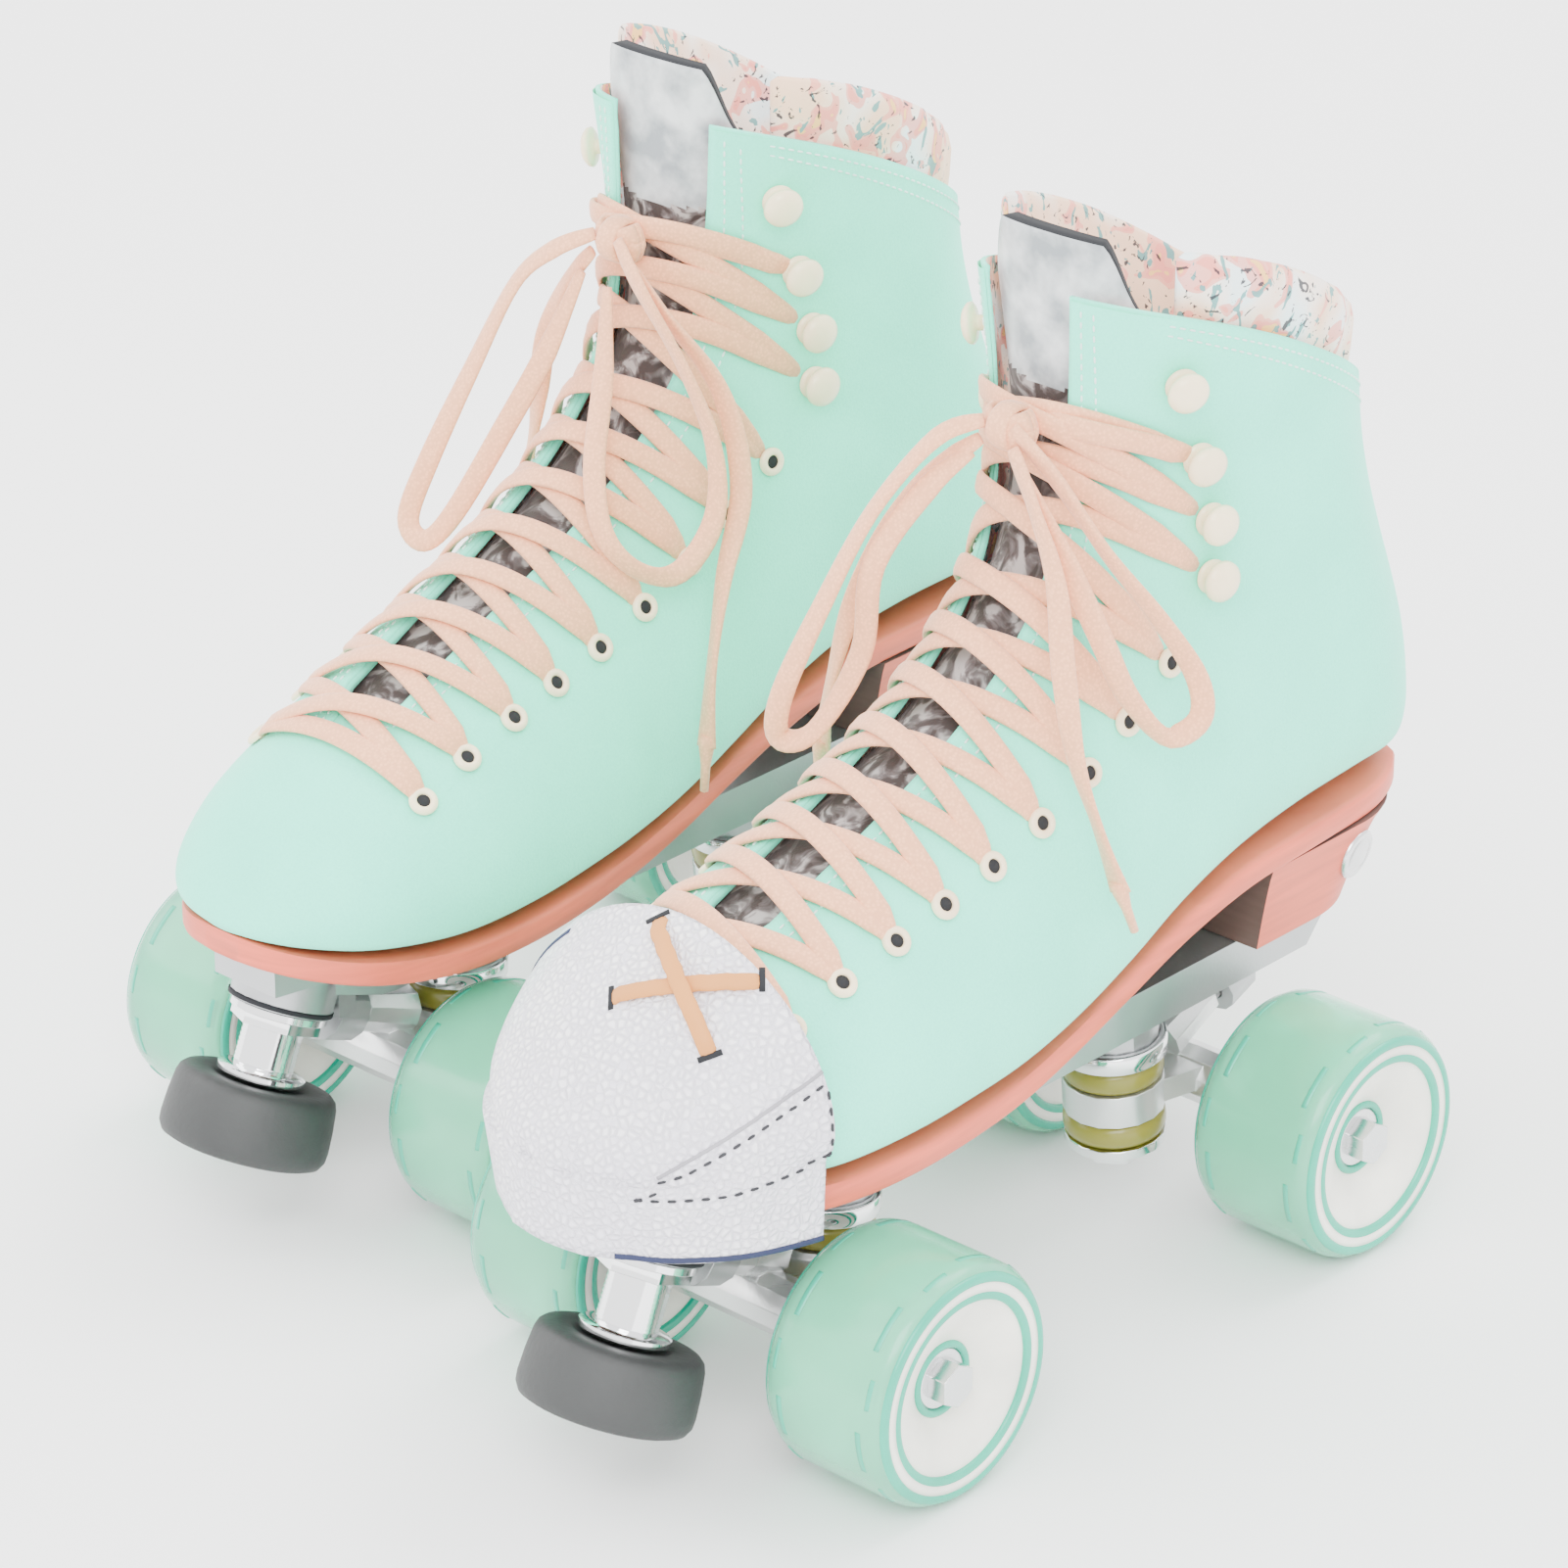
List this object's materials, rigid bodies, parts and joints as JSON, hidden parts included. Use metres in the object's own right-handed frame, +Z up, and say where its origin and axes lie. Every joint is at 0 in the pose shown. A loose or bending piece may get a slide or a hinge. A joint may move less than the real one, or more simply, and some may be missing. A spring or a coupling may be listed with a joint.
{
  "type": "pair of quad roller skates",
  "caption": "High laced boots on plates with two sprung trucks, eight wheels in pairs, adjustable toe stops and a leather toe guard on one skate.",
  "frame": {"origin": "on the floor, under the middle of the pair's box with the laces left out", "axes": "+Z up, the toes point to -Y, +X is the wearer's left"},
  "size_m": [0.29, 0.3316, 0.2757],
  "materials": {
    "suede": "suede nap",
    "print_fabric": "woven print",
    "insole": "woven",
    "sole": "satin",
    "lace": "woven flat lace",
    "plate": "cast satin",
    "truck": "cast satin",
    "chrome": "polished",
    "steel": "turned",
    "cushion": "satin urethane",
    "urethane": "translucent gloss",
    "hub": "gloss",
    "stop_rubber": "matte",
    "guard_leather": "pebbled"
  },
  "bodies": {
    "left_boot_and_plate": {"left_boot_upper": "suede", "left_collar_lining": "print_fabric", "left_tongue": "suede", "left_footbed": "insole", "left_outsole": "sole", "left_heel": "sole", "left_lace": "lace", "left_plate": "plate", "left_toe_stop_nut": "chrome", "left_front_kingpin": "chrome", "left_front_upper_cushion": "cushion", "left_front_lower_cushion": "cushion", "left_rear_kingpin": "chrome", "left_rear_upper_cushion": "cushion", "left_rear_lower_cushion": "cushion"},
    "left_toe_stop": {"left_toe_stop_pad": "stop_rubber", "left_toe_stop_stem": "chrome"},
    "left_front_truck": {"left_front_hanger": "truck", "left_front_axle": "steel"},
    "left_front_inner_wheel": {"left_front_inner_tyre": "urethane", "left_front_inner_hub": "hub"},
    "left_front_outer_wheel": {"left_front_outer_tyre": "urethane", "left_front_outer_hub": "hub"},
    "left_rear_truck": {"left_rear_hanger": "truck", "left_rear_axle": "steel"},
    "left_rear_inner_wheel": {"left_rear_inner_tyre": "urethane", "left_rear_inner_hub": "hub"},
    "left_rear_outer_wheel": {"left_rear_outer_tyre": "urethane", "left_rear_outer_hub": "hub"},
    "left_toe_guard": {"left_toe_guard": "guard_leather"},
    "right_boot_and_plate": {"right_boot_upper": "suede", "right_collar_lining": "print_fabric", "right_tongue": "suede", "right_footbed": "insole", "right_outsole": "sole", "right_heel": "sole", "right_lace": "lace", "right_plate": "plate", "right_toe_stop_nut": "chrome", "right_front_kingpin": "chrome", "right_front_upper_cushion": "cushion", "right_front_lower_cushion": "cushion", "right_rear_kingpin": "chrome", "right_rear_upper_cushion": "cushion", "right_rear_lower_cushion": "cushion"},
    "right_toe_stop": {"right_toe_stop_pad": "stop_rubber", "right_toe_stop_stem": "chrome"},
    "right_front_truck": {"right_front_hanger": "truck", "right_front_axle": "steel"},
    "right_front_inner_wheel": {"right_front_inner_tyre": "urethane", "right_front_inner_hub": "hub"},
    "right_front_outer_wheel": {"right_front_outer_tyre": "urethane", "right_front_outer_hub": "hub"},
    "right_rear_truck": {"right_rear_hanger": "truck", "right_rear_axle": "steel"},
    "right_rear_inner_wheel": {"right_rear_inner_tyre": "urethane", "right_rear_inner_hub": "hub"},
    "right_rear_outer_wheel": {"right_rear_outer_tyre": "urethane", "right_rear_outer_hub": "hub"}
  },
  "joints": [
    {"name": "left_toe_stop_height", "type": "slide", "parent": "left_boot_and_plate", "child": "left_toe_stop", "axis": [0, -0.4067, -0.9135], "range_m": [-0.0025, 0.005]},
    {"name": "left_front_truck_steer", "type": "hinge", "parent": "left_boot_and_plate", "child": "left_front_truck", "pos_m": [0.0775, -0.07071, 0.033], "axis": [0, -0.9269, 0.3752], "range_deg": [-6, 6], "stiffness_Nm_per_rad": 45, "deforming": ["left_front_upper_cushion", "left_front_lower_cushion"]},
    {"name": "left_front_inner_wheel_spin", "type": "hinge", "parent": "left_front_truck", "child": "left_front_inner_wheel", "pos_m": [0.0285, -0.09471, 0.031], "axis": [1, 0, 0], "continuous": true},
    {"name": "left_front_outer_wheel_spin", "type": "hinge", "parent": "left_front_truck", "child": "left_front_outer_wheel", "pos_m": [0.1265, -0.09471, 0.031], "axis": [1, 0, 0], "continuous": true},
    {"name": "left_rear_truck_steer", "type": "hinge", "parent": "left_boot_and_plate", "child": "left_rear_truck", "pos_m": [0.0775, 0.04129, 0.033], "axis": [0, 0.9269, 0.3752], "range_deg": [-6, 6], "stiffness_Nm_per_rad": 45, "deforming": ["left_rear_upper_cushion", "left_rear_lower_cushion"]},
    {"name": "left_rear_inner_wheel_spin", "type": "hinge", "parent": "left_rear_truck", "child": "left_rear_inner_wheel", "pos_m": [0.0285, 0.06529, 0.031], "axis": [1, 0, 0], "continuous": true},
    {"name": "left_rear_outer_wheel_spin", "type": "hinge", "parent": "left_rear_truck", "child": "left_rear_outer_wheel", "pos_m": [0.1265, 0.06529, 0.031], "axis": [1, 0, 0], "continuous": true},
    {"name": "left_toe_guard_off", "type": "slide", "parent": "left_boot_and_plate", "child": "left_toe_guard", "axis": [0, -1, 0], "range_m": [0, 0.09]},
    {"name": "right_skate_lift", "type": "slide", "parent": "left_boot_and_plate", "child": "right_boot_and_plate", "axis": [0, 0, 1], "range_m": [0, 0.3]},
    {"name": "right_toe_stop_height", "type": "slide", "parent": "right_boot_and_plate", "child": "right_toe_stop", "axis": [0, -0.4067, -0.9135], "range_m": [-0.0025, 0.005]},
    {"name": "right_front_truck_steer", "type": "hinge", "parent": "right_boot_and_plate", "child": "right_front_truck", "pos_m": [-0.0775, -0.04271, 0.033], "axis": [0, -0.9269, 0.3752], "range_deg": [-6, 6], "stiffness_Nm_per_rad": 45, "deforming": ["right_front_upper_cushion", "right_front_lower_cushion"]},
    {"name": "right_front_inner_wheel_spin", "type": "hinge", "parent": "right_front_truck", "child": "right_front_inner_wheel", "pos_m": [-0.0285, -0.06671, 0.031], "axis": [1, 0, 0], "continuous": true},
    {"name": "right_front_outer_wheel_spin", "type": "hinge", "parent": "right_front_truck", "child": "right_front_outer_wheel", "pos_m": [-0.1265, -0.06671, 0.031], "axis": [1, 0, 0], "continuous": true},
    {"name": "right_rear_truck_steer", "type": "hinge", "parent": "right_boot_and_plate", "child": "right_rear_truck", "pos_m": [-0.0775, 0.06929, 0.033], "axis": [0, 0.9269, 0.3752], "range_deg": [-6, 6], "stiffness_Nm_per_rad": 45, "deforming": ["right_rear_upper_cushion", "right_rear_lower_cushion"]},
    {"name": "right_rear_inner_wheel_spin", "type": "hinge", "parent": "right_rear_truck", "child": "right_rear_inner_wheel", "pos_m": [-0.0285, 0.09329, 0.031], "axis": [1, 0, 0], "continuous": true},
    {"name": "right_rear_outer_wheel_spin", "type": "hinge", "parent": "right_rear_truck", "child": "right_rear_outer_wheel", "pos_m": [-0.1265, 0.09329, 0.031], "axis": [1, 0, 0], "continuous": true}
  ]
}
